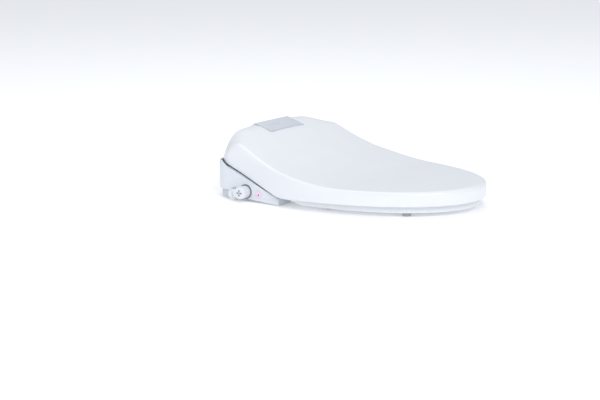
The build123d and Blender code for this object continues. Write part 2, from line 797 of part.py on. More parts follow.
def board_components():
    x0 = board_x[0]
    blocks = [slab((x0 + 6, x0 + 24), (30, 48), (-12, -1.6)), slab((x0 + 32, x0 + 46), (36, 54), (-10, -1.6)),
              slab((x0 + 54, x0 + 76), (40, 52), (-9, -1.6)), slab((x0 + 30, x0 + 42), (14, 22), (-4, -1.6)),
              slab((x0 + 54, x0 + 62), (16, 28), (-5, -1.6))]
    return solids(*[on_board(block) for block in blocks])


def cord_gland():
    y = base_rear_y
    gland = rod((gland_x, y, gland_z), (gland_x, y + 4, gland_z), 10)
    gland += rod((gland_x, y + 3.5, gland_z), (gland_x, y + 13, gland_z), 6.5)
    gland += rod((gland_x, y - 8, gland_z), (gland_x, y + 0.5, gland_z), 6.9)
    return gland - rod((gland_x, y - 20, gland_z), (gland_x, y + 20, gland_z), 3.6)


# ---- Hinge ---------------------------------------------------------------------------
damper_radius = 10.5
damper_reach = 40.0


def damper(side):
    """Soft-close damper inside the middle block."""
    x1 = side * (hump_inner - 0.5)
    x0 = x1 - side * damper_reach
    body = rod_x((hinge_y, hinge_z), x0, x1, damper_radius)
    body += slab(sorted((x0, x1)), span(hinge_y, 4), (hinge_z - damper_radius - 3, hinge_z - 5))
    return body - rod_x((hinge_y, hinge_z), x1 - side * 22, x1 + side, shaft_radius + running)


def hinge_shaft(side, end):
    """Shaft from the damper's bore out through both arms."""
    x0 = side * (hump_inner - 21)
    return rod_x((hinge_y, hinge_z), x0, side * end, shaft_radius)


# ---- Heated ring ---------------------------------------------------------------------
bumper_radius = 9.0
bumper_points = [(146, -205), (112, -370)]


def ring_body(inset, top_drop):
    """Ring walls moved in by inset, top moved down by top_drop."""
    plan = standing(lid_outline(ring_inset + inset)) - standing(ring_hole(-inset))
    return plan & under_surface(ring_height, top_drop) & ring_zone()


def ring_arm(side):
    """Arm from the ring's rear end to its hinge boss."""
    end = arm_end_y
    root, root_z = end - 34, ring_height(75, end - 34)
    points = [(root, root_z - 8), (root, root_z - 1), (end, hinge_z - 1),
              (hinge_y, hinge_z + boss_radius - 2), (hinge_y, hinge_z - 6), (end, arm_low_z)]
    x0, x1 = ring_boss_x
    arm = extrude_x(points, x0, x1) + rod_x((hinge_y, hinge_z), x0, x1, boss_radius)
    return arm if side > 0 else arm.mirror(Plane.YZ)


def bore(side, x, radius):
    return rod_x((hinge_y, hinge_z), side * (x[0] - 1), side * (x[1] + 1), radius)


def ring_top():
    shell = ring_body(0, 0) - ring_body(shell_wall, shell_wall)
    for side, fit in ((-1, running), (1, 0)):
        shell += ring_arm(side)
        shell -= bore(side, ring_boss_x, shaft_radius + fit)
    return biggest(shell)


def under_plate(grow):
    """Zone of the ring's bottom plate, a band above the underside."""
    return ring_zone() - Pos(0, 0, ring_plate + grow) * ring_zone()


def ring_bottom():
    inset = shell_wall + seam
    plan = standing(lid_outline(ring_inset + inset)) - standing(ring_hole(-inset))
    plate = plan & under_plate(0) & under_surface(ring_height, shell_wall + seam)
    return biggest(plate)


def heating_foil():
    """Foil heater under the sitting surface."""
    inset = shell_wall + 12
    plan = standing(lid_outline(ring_inset + inset)) - standing(ring_hole(-inset))
    band = under_surface(ring_height, shell_wall + 0.2) - under_surface(ring_height, shell_wall + 0.8)
    foil = plan & band & slab((-far, far), (-far, -70), (0, 200))
    return biggest(foil)


def seat_bumpers():
    pads = []
    for x, y in bumper_points:
        for side in (-1, 1):
            pad = rod((side * x, y, 0), (side * x, y, ring_underside_z), bumper_radius)
            pads.append(fillet(pad.edges().sort_by(Axis.Z)[0], 2))
    return solids(*pads)


# ---- Lid -----------------------------------------------------------------------------
def above_hem():
    """Side view of the lid: everything above its lower edge."""
    back = [(y, deck_z(y) + lid_gap) for y in (base_front_y, -71, -33, 12)]
    hem = Spline([(0, y, z) for y, z in lid_hem_stations + back + lid_hem_rear])
    closing = Polyline([hem @ 1, (0, 75, 300), (0, -480, 300), hem @ 0])
    face = make_face(Wire([*hem.edges(), *closing.edges()]))
    return extrude(Pos(-300, 0, 0) * face, amount=600, dir=(1, 0, 0))


def notch():
    """Gap that lets the lid pass the middle block."""
    half = hump_half_width + notch_gap
    return slab((-half, half), (panel_front_y - 2.2, far), (0, 300))


def notch_wall():
    """Flange down each side of the notch."""
    half = hump_half_width + notch_gap
    zone = slab((half, half + shell_wall), (panel_front_y - 2.2, lid_rear_y - 1), (hinge_z + shaft_radius + 2, 300))
    return zone + zone.mirror(Plane.YZ)


def lid_boss(side):
    x0, x1 = lid_boss_x
    drum = rod_x((hinge_y, hinge_z), x0, x1, boss_radius - 2)
    web = slab((x0, x1), (hinge_y - 11, hinge_y + 11), (hinge_z, 300))
    boss = drum + web
    return boss if side > 0 else boss.mirror(Plane.YZ)


def lid_shell():
    plan, inner_plan = standing(lid_outline()), standing(lid_outline(shell_wall))
    outer = plan & under_surface(lid_height)
    inner = inner_plan & under_surface(lid_height, shell_wall)
    shell = outer - inner
    for side in (-1, 1):
        shell += lid_boss(side) & outer
    shell += notch_wall() & outer
    shell = (shell & above_hem()) - notch()
    for side, fit in ((-1, 0), (1, running)):
        shell -= bore(side, lid_boss_x, shaft_radius + fit)
    return biggest(shell)


def lid_bumpers(shell):
    pads = []
    for x, y in ((140, -230), (110, -350)):
        for side in (-1, 1):
            low = ring_height(x, y) + 1.0
            pad = rod((side * x, y, low), (side * x, y, lid_height(x, y) - 1), 6)
            pads.append(biggest(pad - shell))
    return solids(*pads)


# ---- Write the nodes -----------------------------------------------------------------
def build():
    lid = lid_shell()
    housing = upper_housing()
    lid_shaft_end = lid_boss_x[1]
    return {
        "mounting_plate": mounting_plate(), "plate_gasket": plate_gasket(),
        "bolt_adjusters": bolt_adjusters(), "mounting_bolts": mounting_bolts(),
        "base_pan": base_pan(), "right_cover": side_cover(housing, -1),
        "left_cover": side_cover(housing, 1), "middle_cover": middle_cover(housing),
        "housing_screws": housing_screws(),
        "base_pads": base_pads(), "centre_panel": centre_panel(), "indicator_lens": indicator_lens(),
        "receiver_board": receiver_board(),
        "side_leds": side_leds(), "button_halo": button_halo(), "wash_button": wash_button(),
        "button_switch": button_switch(), "knob_bezel": knob_bezel(), "flow_knob": flow_knob(),
        "knob_valve": knob_valve(), "filter_housing": filter_housing(), "filter_plug": filter_plug(),
        "filter_screen": filter_screen(), "filter_seal": filter_seal(),
        "release_button": release_button(), "release_spring": release_spring(),
        "release_latch": release_latch(), "water_inlet": water_inlet(),
        "solenoid_valve": solenoid_valve(), "water_pump": water_pump(), "heater_tank": heater_tank(),
        "supply_hose": supply_hose(), "nozzle_tube": nozzle_tube(), "nozzle_cap": nozzle_cap(),
        "nozzle_rack": nozzle_rack(), "drive_pinion": drive_pinion(), "nozzle_motor": nozzle_motor(),
        "nozzle_guide": nozzle_guide(), "nozzle_guard": nozzle_guard(),
        "blower_housing": blower_housing(), "blower_fan": blower_fan(), "blower_motor": blower_motor(),
        "dryer_duct": dryer_duct(), "dryer_heater": dryer_heater(), "dryer_grille": dryer_grille(),
        "control_board": control_board(), "board_components": board_components(),
        "cord_gland": cord_gland(), "lid_damper": damper(-1), "seat_damper": damper(1),
        "seat_ring_top": ring_top(), "seat_ring_bottom": ring_bottom(), "heating_foil": heating_foil(),
        "seat_bumpers": seat_bumpers(), "seat_hinge_shaft": hinge_shaft(1, lid_shaft_end),
        "lid_shell": lid, "lid_bumpers": lid_bumpers(lid), "lid_hinge_shaft": hinge_shaft(-1, lid_shaft_end),
    }


os.makedirs("parts", exist_ok=True)
for name, shape in build().items():
    export_step(shape, f"parts/{name}.step")
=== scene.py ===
import json
import math
import bmesh
import bpy
import numpy as np
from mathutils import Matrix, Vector, geometry


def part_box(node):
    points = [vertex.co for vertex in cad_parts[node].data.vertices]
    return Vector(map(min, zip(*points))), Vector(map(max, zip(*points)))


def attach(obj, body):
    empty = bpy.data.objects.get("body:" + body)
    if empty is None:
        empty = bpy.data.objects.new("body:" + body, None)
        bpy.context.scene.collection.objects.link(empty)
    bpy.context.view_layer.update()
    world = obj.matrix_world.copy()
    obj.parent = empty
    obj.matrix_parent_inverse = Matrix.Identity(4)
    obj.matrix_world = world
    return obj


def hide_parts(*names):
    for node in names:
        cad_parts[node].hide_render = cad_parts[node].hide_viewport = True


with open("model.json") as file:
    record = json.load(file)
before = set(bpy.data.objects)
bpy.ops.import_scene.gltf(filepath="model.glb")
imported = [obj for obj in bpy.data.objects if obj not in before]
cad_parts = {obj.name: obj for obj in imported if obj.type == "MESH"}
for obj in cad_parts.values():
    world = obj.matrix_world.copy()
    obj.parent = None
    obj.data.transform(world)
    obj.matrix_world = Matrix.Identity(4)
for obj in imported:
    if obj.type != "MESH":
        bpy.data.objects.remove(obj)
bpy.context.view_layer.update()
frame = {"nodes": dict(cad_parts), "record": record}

MM = 0.001
TURN = 2 * math.pi
SIDES = ((-1, "right"), (1, "left"))

# ---- Driving dimensions, in millimetres: places from the frame, shapes set here -------
lid_low, lid_high = (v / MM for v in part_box("lid_shell"))
panel_low, panel_high = (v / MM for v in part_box("centre_panel"))
knob_low, knob_high = (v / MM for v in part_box("flow_knob"))
button_low, button_high = (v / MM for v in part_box("wash_button"))
shaft_low, shaft_high = (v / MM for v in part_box("seat_hinge_shaft"))

HALF_WIDTH = lid_high.x
TIP_Y = lid_low.y
REAR_Y = lid_high.y
WIDEST_Y = -156.0
REAR_INSET = 16.0
CORNER = 38.0
REAR_HALF = HALF_WIDTH - REAR_INSET
CORNER_DROP = 44.0          # fall of the lid's rear corners
CORNER_FROM, CORNER_SPAN = 0.55, 0.39
CORNER_Y = -10.0            # where that fall starts
REAR_DROP = 9.5             # fall along the lid's rear edge
REAR_DROP_Y = 22.0
DROP_POWER = 2.5
WALL = 3.0
NOTCH_HALF = panel_high.x + 2.0
NOTCH_Y = panel_low.y - 2.4
NOTCH_CORNER = 4.0
FLANGE_FRONT, FLANGE_REAR = 3.0, 11.0   # depth of the lid's flange inside its notch
RING_INSET = 11.0
RING_REAR_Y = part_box("seat_ring_bottom")[1].y / MM
ARM_X = (panel_high.x + 5.5, panel_high.x + 23.5)
HOLE_HALF = 105.0
HOLE_FRONT_Y = -400.0
HOLE_WIDEST_Y = -230.0
ARM_BOSS = 14.0             # radius around the hinge
ARM_ROOT = 34.0             # reach of an arm onto the ring
ARM_SLOPE = 19              # degrees
ARM_PROBE_X = 75.0
LUG_X = (panel_high.x + 26.5, panel_high.x + 36.5)
LUG_RADIUS, LUG_HALF = 12.0, 11.0
LUG_PROBE_X = 80.0
HINGE = ((shaft_low.y + shaft_high.y) / 2, (shaft_low.z + shaft_high.z) / 2)

# (y, height) stations from the front to the rear
LID_EDGE = ((-480, 54), (-400, 52), (-320, 51.5), (-240, 52), (-200, 55), (-161, 61), (-101, 73),
            (-50, 91), (-12, 109), (18, 122), (48, 131), (80, 135))
LID_CROWN = ((-480, 1), (-240, 2), (-150, 4), (-80, 8), (0, 12), (80, 13))
RING_TOP = ((-480, 36), (-400, 34), (-300, 32), (-220, 33), (-150, 40), (-100, 54), (-50, 74),
            (-4, 97), (40, 110))
LID_HEM = ((-480, 24), (-300, 22), (-200, 20.5), (-128, 17.9), (-106, 18.9), (-71, 32.1), (-33, 46.9),
           (12, 64.5), (28, 71), (40, 75), (50, 80.2), (58, 82.2), (75, 82.4))
RING_HEM = ((-480, 8.5), (-161, 8.5), (-127, 16.2), (-106, 18.4), (0, 59.3))


# ---- Small helpers -------------------------------------------------------------------
def smooth(stations, y, span=22.0):
    """Moving average of (y, value) stations."""
    ys, values = zip(*stations)
    steps = (-1, -0.67, -0.33, 0, 0.33, 0.67, 1)
    weights = [math.cos(step * math.pi / 2) + 0.05 for step in steps]
    total = sum(w * np.interp(y + span * s, ys, values) for s, w in zip(steps, weights))
    return total / sum(weights)


def lid_height(p):
    """Top of the lid, falling away at its rear corners."""
    x, y = np.abs(p[:, 0]), p[:, 1]
    crown = smooth(LID_CROWN, y) * (1 - (x / HALF_WIDTH) ** 2)
    across = np.maximum(x - CORNER_FROM * REAR_HALF, 0) / (CORNER_SPAN * REAR_HALF)
    along = np.maximum(y - CORNER_Y, 0) / (REAR_Y - 1)
    corner = CORNER_DROP * np.minimum(across * along, 1.0) ** DROP_POWER
    behind = np.maximum(y - REAR_DROP_Y, 0) / (REAR_Y - REAR_DROP_Y)
    rear = REAR_DROP * np.minimum(behind, 1.3) ** DROP_POWER
    return smooth(LID_EDGE, y) + crown - corner - rear


def ring_height(p):
    """Top of the ring, dished around its opening."""
    rho = np.sqrt((p[:, 0] / 150) ** 2 + ((p[:, 1] - HOLE_WIDEST_Y) / 200) ** 2)
    return smooth(RING_TOP, p[:, 1]) - 14 * np.exp(-((rho / 0.75) ** 4))


def arc(centre, radius, start, end, count):
    """Points on an arc, angles in degrees."""
    angles = np.radians(np.linspace(start, end, count))
    return np.column_stack((centre[0] + radius * np.cos(angles), centre[1] + radius * np.sin(angles)))


def line(start, end, count):
    """Points on a straight line."""
    t = np.linspace(0, 1, count)[:, None]
    return np.array(start) * (1 - t) + np.array(end) * t


def mirrored(right):
    """Close an outline from its right half, which runs from the tip to the rear."""
    left = right[::-1] * (-1, 1)
    both = np.vstack((right, left))
    keep = np.linalg.norm(both - np.roll(both, 1, axis=0), axis=1) > 0.02
    return both[keep]


def side_width(y, inset):
    """Half width behind the widest point."""
    t = np.clip((y - WIDEST_Y) / (REAR_Y - CORNER - WIDEST_Y), 0, 1)
    return HALF_WIDTH - inset - REAR_INSET * (3 * t**2 - 2 * t**3)


def front_and_side(inset, last_y, steps=60):
    """Elliptical front and tapering side, as far back as last_y."""
    tip = arc((0, 0), 1, 270, 360, 110) * (HALF_WIDTH - inset, WIDEST_Y - TIP_Y - inset) + (0, WIDEST_Y)
    ys = np.linspace(WIDEST_Y, last_y, steps)[1:]
    return np.vstack((tip, np.column_stack((side_width(ys, inset), ys))))


def lid_outline():
    """Lid plan with the notch for the middle block."""
    corner = (HALF_WIDTH - REAR_INSET - CORNER, REAR_Y - CORNER)
    r = NOTCH_CORNER
    parts = [front_and_side(0, corner[1]), arc(corner, CORNER, 0, 90, 24)[1:],
             line((corner[0], REAR_Y), (NOTCH_HALF + r, REAR_Y), 26)[1:],
             arc((NOTCH_HALF + r, REAR_Y - r), r, 90, 180, 9)[1:],
             line((NOTCH_HALF, REAR_Y - r), (NOTCH_HALF, NOTCH_Y + r), 20)[1:],
             arc((NOTCH_HALF - r, NOTCH_Y + r), r, 0, -90, 9)[1:],
             line((NOTCH_HALF - r, NOTCH_Y), (0, NOTCH_Y), 20)[1:]]
    return mirrored(np.vstack(parts))


def ring_outline():
    """Horseshoe plan of the ring, closed at the rear by the two arms' roots."""
    r, end = 8.0, RING_REAR_Y
    width = float(side_width(np.array(end), RING_INSET))
    outer = np.vstack((front_and_side(RING_INSET, end - r), arc((width - r, end - r), r, 0, 90, 10)[1:],
                       line((width - r, end), (ARM_X[0] + 5, end), 22)[1:],
                       arc((ARM_X[0] + 5, end - 5), 5, 90, 180, 8)[1:]))
    y0 = HOLE_WIDEST_Y
    reach = y0 - HOLE_FRONT_Y
    ys = np.linspace(end - 5, y0, 50)[1:]
    t = np.clip((ys - y0) / (-48 - y0), 0, 1)
    inner_side = np.column_stack((HOLE_HALF - (HOLE_HALF - ARM_X[0]) * (3 * t**2 - 2 * t**3) ** 1.15, ys))
    front = arc((0, 0), 1, 360, 270, 80)[1:] * (HOLE_HALF, reach) + (0, y0)
    return mirrored(np.vstack((outer, inner_side, front)))


def outward(loop):
    """Unit normals of a closed counter-clockwise outline."""
    along = np.roll(loop, -1, axis=0) - np.roll(loop, 1, axis=0)
    normal = np.column_stack((along[:, 1], -along[:, 0]))
    return normal / np.linalg.norm(normal, axis=1)[:, None]


def distance_to(points, loop):
    """Least distance from each point to a closed outline."""
    a, b = loop, np.roll(loop, -1, axis=0)
    ab = b - a
    best = np.full(len(points), 1e9)
    for start, step in zip(a, ab):
        t = np.clip(((points - start) @ step) / max(step @ step, 1e-9), 0, 1)
        best = np.minimum(best, np.linalg.norm(points - start - t[:, None] * step, axis=1))
    return best


def inside(points, loop):
    """Even-odd test."""
    result = np.zeros(len(points), bool)
    x, y = points[:, 0], points[:, 1]
    for (x0, y0), (x1, y1) in zip(loop, np.roll(loop, -1, axis=0)):
        if y0 != y1:
            crossing = ((y0 > y) != (y1 > y)) & (x < (x1 - x0) * (y - y0) / (y1 - y0) + x0)
            result ^= crossing
    return result


def new_object(name, mesh):
    obj = bpy.data.objects.new(name, mesh)
    bpy.context.scene.collection.objects.link(obj)
    return obj


def mesh_object(name, vertices, faces):
    """Smooth-shaded object from millimetre coordinates."""
    mesh = bpy.data.meshes.new(name)
    mesh.from_pydata([tuple(float(c) * MM for c in v) for v in vertices], [], faces)
    mesh.update()
    tidy = bmesh.new()
    tidy.from_mesh(mesh)
    bmesh.ops.recalc_face_normals(tidy, faces=tidy.faces)
    tidy.to_mesh(mesh)
    tidy.free()
    mesh.shade_smooth()
    return new_object(name, mesh)


def place(obj, body, material, *nodes, slot=None):
    """Give a piece its material and its body, and hide the nodes that it stands for; slot is not used."""
    obj.data.materials.clear()
    obj.data.materials.append(material)
    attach(obj, body)
    if nodes:
        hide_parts(*nodes)
    return obj


# ---- Moulded shells ------------------------------------------------------------------
def fill(loop, spacing):
    """Triangles inside a closed outline, with a regular grid of inner points."""
    low, high = loop.min(0), loop.max(0)
    rows = np.arange(low[1], high[1], spacing * 0.87)
    grid = []
    for i, y in enumerate(rows):
        xs = np.arange(low[0] + (i % 2) * spacing / 2, high[0], spacing)
        grid.append(np.column_stack((xs, np.full(len(xs), y))))
    grid = np.vstack(grid)
    grid = grid[inside(grid, loop)]
    grid = grid[distance_to(grid, loop) > spacing * 0.6]
    points = np.vstack((loop, grid))
    edges = [(i, (i + 1) % len(loop)) for i in range(len(loop))]
    found = geometry.delaunay_2d_cdt([Vector(p) for p in points], edges, [], 1, 1e-5)
    flat = np.array([tuple(v) for v in found[0]])
    origin = {i: ids[0] for i, ids in enumerate(found[3]) if ids}
    return flat, found[2], origin


def shell(name, loop, radius, top, hem, inner, wall=WALL, lip=1.2, spacing=6.0):
    """Moulding with a rounded upper edge, a skirt down to its hem and a hollow underside."""
    normal = outward(loop)
    vertices, faces, rings = [], [], []

    def add_ring(offset, z):
        xy = loop - normal * np.reshape(offset, (-1, 1))
        rings.append(len(vertices))
        vertices.extend(np.column_stack((xy, z(xy))).tolist())
        return xy

    # inner surface, hem, skirt and rounded edge, from the hollow outwards
    foot = hem(loop)
    inner_loop = add_ring(wall + 2.0, lambda xy: np.maximum(inner(xy), foot + lip))
    add_ring(wall, lambda xy: np.maximum(inner(xy) - 2.0, foot + lip))
    for offset, rise in ((wall, lip), (wall - lip * 0.3, lip * 0.3), (wall - lip, 0.0),
                         (lip, 0.0), (lip * 0.3, lip * 0.3), (0.0, lip)):
        add_ring(offset, lambda xy, up=rise: foot + up)
    for share in (0.25, 0.5, 0.75):
        add_ring(0.0, lambda xy, s=share: (foot + lip) * (1 - s) + (top(loop) - radius) * s)
    for degrees in (0, 10, 21, 33, 45, 57, 69, 80, 90):
        phi = math.radians(degrees)
        outer_loop = add_ring(radius * (1 - math.cos(phi)),
                              lambda xy, p=phi: top(xy) - radius * (1 - math.sin(p)))
    count = len(loop)
    for a, b in zip(rings, rings[1:]):
        faces.extend((a + i, a + (i + 1) % count, b + (i + 1) % count, b + i) for i in range(count))
    for edge_loop, base, height in ((inner_loop, rings[0], inner), (outer_loop, rings[-1], top)):
        flat, triangles, origin = fill(edge_loop, spacing)
        heights = height(flat)
        index = {}
        for i, (xy, z) in enumerate(zip(flat, heights)):
            if i in origin and origin[i] < count:
                index[i] = base + origin[i]
            else:
                index[i] = len(vertices)
                vertices.append((xy[0], xy[1], z))
        faces.extend(tuple(index[i] for i in triangle) for triangle in triangles)
    return mesh_object(name, vertices, faces)


def edge_radius(loop, soft, tight, is_tight, blend=22.0):
    """Rounding that is soft along the outline and tight where is_tight says."""
    marks = np.array([is_tight(p) for p in loop], float)
    lengths = np.linalg.norm(loop - np.roll(loop, 1, axis=0), axis=1)
    reach = int(blend / np.median(lengths))
    kernel = np.hanning(2 * reach + 3)
    wrapped = np.concatenate((marks[-reach - 1:], marks, marks[:reach + 1]))
    share = np.convolve(wrapped, kernel / kernel.sum(), "valid")[:len(loop)]
    share = np.maximum(share, marks)
    return soft * (1 - share) + tight * share


# ---- Materials -----------------------------------------------------------------------
def linear(rgb):
    """Linear colour from 8-bit display values."""
    return [((c / 255 + 0.055) / 1.055) ** 2.4 if c > 10 else c / 255 / 12.92 for c in rgb]


def material(name, rgb, roughness=0.3, metallic=0.0, shade=0.04, mottle=18.0, grain=900.0,
             bump=0.02, coat=0.0, stretch=(1, 1, 1), rough_spread=0.06):
    """Moulded or machined surface: slow colour drift, fine grain in roughness and relief."""
    mat = bpy.data.materials.new(name)
    mat.use_nodes = True
    nodes, links = mat.node_tree.nodes, mat.node_tree.links
    shader = nodes["Principled BSDF"]
    shader.inputs["Metallic"].default_value = metallic
    shader.inputs["Coat Weight"].default_value = coat
    shader.inputs["Coat Roughness"].default_value = 0.12
    place_node = nodes.new("ShaderNodeTexCoord")
    mapping = nodes.new("ShaderNodeMapping")
    mapping.inputs["Scale"].default_value = stretch
    links.new(place_node.outputs["Object"], mapping.inputs["Vector"])
    drift = nodes.new("ShaderNodeTexNoise")
    drift.inputs["Scale"].default_value = mottle
    drift.inputs["Detail"].default_value = 3
    colour = nodes.new("ShaderNodeValToRGB")
    base = linear(rgb)
    colour.color_ramp.elements[0].color = [*[c * (1 - shade) for c in base], 1]
    colour.color_ramp.elements[1].color = [*[min(c * (1 + shade * 0.6), 1) for c in base], 1]
    colour.color_ramp.elements[0].position = 0.3
    colour.color_ramp.elements[1].position = 0.7
    fine = nodes.new("ShaderNodeTexNoise")
    fine.inputs["Scale"].default_value = grain
    fine.inputs["Detail"].default_value = 4
    spread = nodes.new("ShaderNodeMapRange")
    spread.inputs["To Min"].default_value = max(roughness - rough_spread, 0.02)
    spread.inputs["To Max"].default_value = roughness + rough_spread
    relief = nodes.new("ShaderNodeBump")
    relief.inputs["Strength"].default_value = bump
    relief.inputs["Distance"].default_value = 0.0004
    for texture in (drift, fine):
        links.new(mapping.outputs["Vector"], texture.inputs["Vector"])
    links.new(drift.outputs["Fac"], colour.inputs["Fac"])
    links.new(colour.outputs["Color"], shader.inputs["Base Color"])
    links.new(fine.outputs["Fac"], spread.inputs["Value"])
    links.new(spread.outputs["Result"], shader.inputs["Roughness"])
    links.new(fine.outputs["Fac"], relief.inputs["Height"])
    links.new(relief.outputs["Normal"], shader.inputs["Normal"])
    return mat


MATERIALS = {
    "lid_white": material("lid_white", (230, 233, 238), 0.34, shade=0.012, coat=0.08, bump=0.012),
    "seat_white": material("seat_white", (234, 237, 241), 0.32, shade=0.012, coat=0.1, bump=0.012),
    "housing_white": material("housing_white", (222, 226, 232), 0.34, shade=0.015, bump=0.03),
    "panel_grey": material("panel_grey", (206, 211, 220), 0.36, shade=0.015, coat=0.1, bump=0.015),
    "pan_grey": material("pan_grey", (206, 209, 214), 0.55, shade=0.03, bump=0.12, grain=1400),
    "control_white": material("control_white", (226, 229, 234), 0.3, shade=0.015, bump=0.02),
    "halo_pink": material("halo_pink", (238, 206, 230), 0.35, shade=0.05, bump=0.03),
    "lens_clear": material("lens_clear", (236, 240, 246), 0.12, shade=0.02, coat=0.6, bump=0.0),
    "bracket_plastic": material("bracket_plastic", (205, 206, 208), 0.5, shade=0.03, bump=0.1),
    "rubber_grey": material("rubber_grey", (176, 178, 181), 0.75, shade=0.05, bump=0.2, grain=1600),
    "seal_black": material("seal_black", (38, 38, 39), 0.6, shade=0.1, bump=0.12),
    "steel": material("steel", (186, 187, 190), 0.3, metallic=1.0, shade=0.08, stretch=(1, 1, 26),
                      bump=0.06),
    "brass": material("brass", (190, 158, 98), 0.26, metallic=1.0, shade=0.08, stretch=(1, 22, 1),
                      bump=0.05),
    "board_green": material("board_green", (28, 92, 58), 0.38, shade=0.2, mottle=240, bump=0.08),
    "component_black": material("component_black", (40, 41, 44), 0.5, shade=0.12, bump=0.12),
    "tank_white": material("tank_white", (214, 214, 208), 0.5, shade=0.03, bump=0.1),
    "valve_blue": material("valve_blue", (72, 96, 132), 0.45, shade=0.08, bump=0.08),
    "hose_grey": material("hose_grey", (158, 160, 164), 0.5, shade=0.06, bump=0.06),
    "nozzle_white": material("nozzle_white", (232, 233, 235), 0.2, shade=0.015, coat=0.3, bump=0.0),
    "gear_white": material("gear_white", (226, 225, 218), 0.45, shade=0.03, bump=0.05),
    "foil_silver": material("foil_silver", (196, 197, 200), 0.32, metallic=1.0, shade=0.1, bump=0.2,
                            grain=400),
    "damper_grey": material("damper_grey", (112, 115, 120), 0.5, shade=0.06, bump=0.08),
    "button_pink": material("button_pink", (240, 218, 236), 0.3, shade=0.03, bump=0.01),
    "mark_grey": material("mark_grey", (84, 90, 100), 0.45, shade=0.05, bump=0.02),
    "mark_plum": material("mark_plum", (84, 30, 78), 0.45, shade=0.06, bump=0.02),
    "fan_grey": material("fan_grey", (58, 60, 64), 0.5, shade=0.1, bump=0.08),
}


SLOTS = {row["node"]: row["material_slot"] for row in frame["record"]["subparts"]}


def dress_nodes():
    """Every carried-over node takes the material of its slot."""
    for name, slot in SLOTS.items():
        node = frame["nodes"][name]
        node.data.materials.clear()
        node.data.materials.append(MATERIALS[slot])


# ---- Softened mouldings --------------------------------------------------------------
# node, body, width of the rounding in millimetres
SOFT = (
    ("right_cover", "unit", 1.3), ("left_cover", "unit", 1.3), ("middle_cover", "unit", 1.3),
    ("centre_panel", "unit", 1.6), ("base_pan", "unit", 0.8), ("mounting_plate", "mount", 0.7),
    ("bolt_adjusters", "mount", 0.5), ("flow_knob", "knob", 0.35), ("knob_bezel", "unit", 0.4),
    ("filter_plug", "unit", 0.4), ("button_halo", "unit", 0.3), ("wash_button", "button", 0.3),
    ("release_button", "release", 0.3), ("nozzle_guard", "unit", 0.5), ("dryer_grille", "unit", 0.35),
    ("nozzle_tube", "nozzle", 0.3), ("nozzle_cap", "nozzle", 0.3), ("cord_gland", "unit", 0.6),
    ("base_pads", "unit", 0.8), ("seat_bumpers", "seat", 0.8), ("lid_bumpers", "lid", 0.6),
    ("seat_ring_bottom", "seat", 0.8), ("plate_gasket", "mount", 0.3),
)


def bevelled(obj, rounding, segments=4, angle=30):
    """Round over every edge sharper than the angle."""
    bevel = obj.modifiers.new("edges", "BEVEL")
    bevel.width = rounding * MM
    bevel.segments = segments
    bevel.limit_method = "ANGLE"
    bevel.angle_limit = math.radians(angle)
    bevel.harden_normals = True
    bpy.context.view_layer.update()
    done = bpy.data.meshes.new_from_object(obj.evaluated_get(bpy.context.evaluated_depsgraph_get()))
    obj.modifiers.clear()
    obj.data = done
    return obj


def softened(node, body, width):
    """Copy of a node with its sharp edges rounded over."""
    mesh = frame["nodes"][node].data.copy()
    work = bmesh.new()
    work.from_mesh(mesh)
    bmesh.ops.remove_doubles(work, verts=work.verts, dist=0.00002)
    bmesh.ops.dissolve_limit(work, angle_limit=math.radians(0.6), verts=work.verts, edges=work.edges)
    work.to_mesh(mesh)
    work.free()
    obj = new_object(node + "_moulding", mesh)
    mesh.shade_smooth()
    bevelled(obj, width, segments=3, angle=32)
    return place(obj, body, MATERIALS[SLOTS[node]], node, slot=SLOTS[node])


# ---- The lid and the ring ------------------------------------------------------------
def make_lid():
    """Lid shell, tight-edged around its notch."""
    loop = lid_outline()

    def at_notch(p):
        return abs(p[0]) < NOTCH_HALF + 12 and p[1] > NOTCH_Y - 1

    room = (lid_height(loop) - lid_hem(loop) - 1.2) * 0.7
    radius = np.minimum(edge_radius(loop, 9.0, 2.4, at_notch), room)
    lid = shell("lid_moulding", loop, radius, lid_height, lid_hem, lambda p: lid_height(p) - WALL)
    return place(lid, "lid", MATERIALS["lid_white"], "lid_shell", slot="lid_white")


def lid_hem(p):
    """Lower edge: over the ring, up along the housing, and shallow inside the notch."""
    z = smooth(LID_HEM, p[:, 1], 9.0)
    in_notch = (np.abs(p[:, 0]) < NOTCH_HALF + 0.5) & (p[:, 1] > NOTCH_Y - 0.5)
    deep = np.clip((p[:, 1] - NOTCH_Y - 2) / 10, 0, 1)
    flange = lid_height(p) - FLANGE_FRONT - (FLANGE_REAR - FLANGE_FRONT) * deep
    z = np.where(in_notch, flange, z)
    x = np.abs(p[:, 0])
    turn = NOTCH_CORNER + 0.2
    near = (x >= NOTCH_HALF + 0.5) & (x < NOTCH_HALF + turn) & (p[:, 1] > REAR_Y - 6)
    share = np.clip((x - NOTCH_HALF) / turn, 0, 1)
    return np.where(near, flange * (1 - share) + z * share, z)


def make_ring():
    """Ring's upper moulding, without its arms."""
    loop = ring_outline()

    def at_rear(p):
        return p[1] > RING_REAR_Y - 4

    radius = edge_radius(loop, 9.0, 5.0, at_rear)

    def hem(p):
        return smooth(RING_HEM, p[:, 1], 7.0)

    ring = shell("ring_moulding", loop, radius, ring_height, hem, lambda p: hem(p) + 4.6, lip=1.6)
    return place(ring, "seat", MATERIALS["seat_white"], "seat_ring_top", slot="seat_white")


def prism_x(name, outline, x0, x1, rounding):
    """Bevelled slab: a (y, z) outline extruded along X."""
    count = len(outline)
    vertices = [(x0, y, z) for y, z in outline] + [(x1, y, z) for y, z in outline]
    faces = [tuple(range(count)), tuple(range(2 * count - 1, count - 1, -1))]
    faces += [(i, (i + 1) % count, count + (i + 1) % count, count + i) for i in range(count)]
    return bevelled(mesh_object(name, vertices, faces), rounding)


